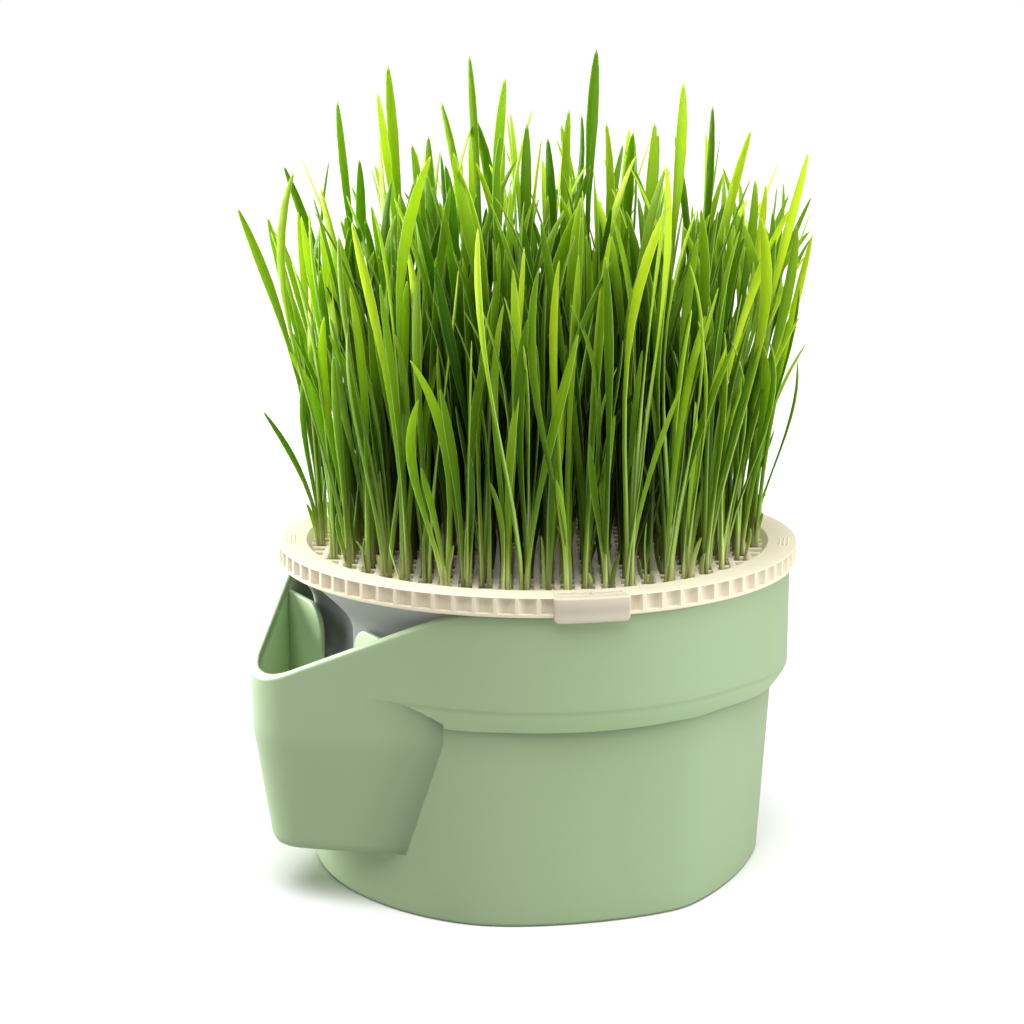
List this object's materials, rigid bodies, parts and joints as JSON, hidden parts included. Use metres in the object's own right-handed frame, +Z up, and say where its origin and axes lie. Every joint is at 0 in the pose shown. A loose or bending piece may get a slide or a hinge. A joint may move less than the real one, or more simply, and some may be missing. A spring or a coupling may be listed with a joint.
{
  "type": "wheatgrass tray",
  "caption": "Head of young wheatgrass growing through the mesh lid of a round self-watering planter with a V-shaped filling spout, inner bucket and growing medium.",
  "frame": {"origin": "on the floor at the pot's upright axis, in the middle of the base", "axes": "+Z up, -Y towards the filling spout, +X to the right of someone who faces +Y"},
  "size_m": [0.1621, 0.1628, 0.2325],
  "materials": {
    "pot": "matt moulded sage green plastic",
    "bucket": "matt moulded grey plastic",
    "lid": "satin moulded cream plastic",
    "soil": "moist plant-fibre growing medium",
    "grass": "fresh green blades with pale stems"
  },
  "bodies": {
    "root": {"outer_pot": "pot", "inner_bucket": "bucket", "lid": "lid", "soil": "soil", "grass": "grass"}
  },
  "joints": []
}
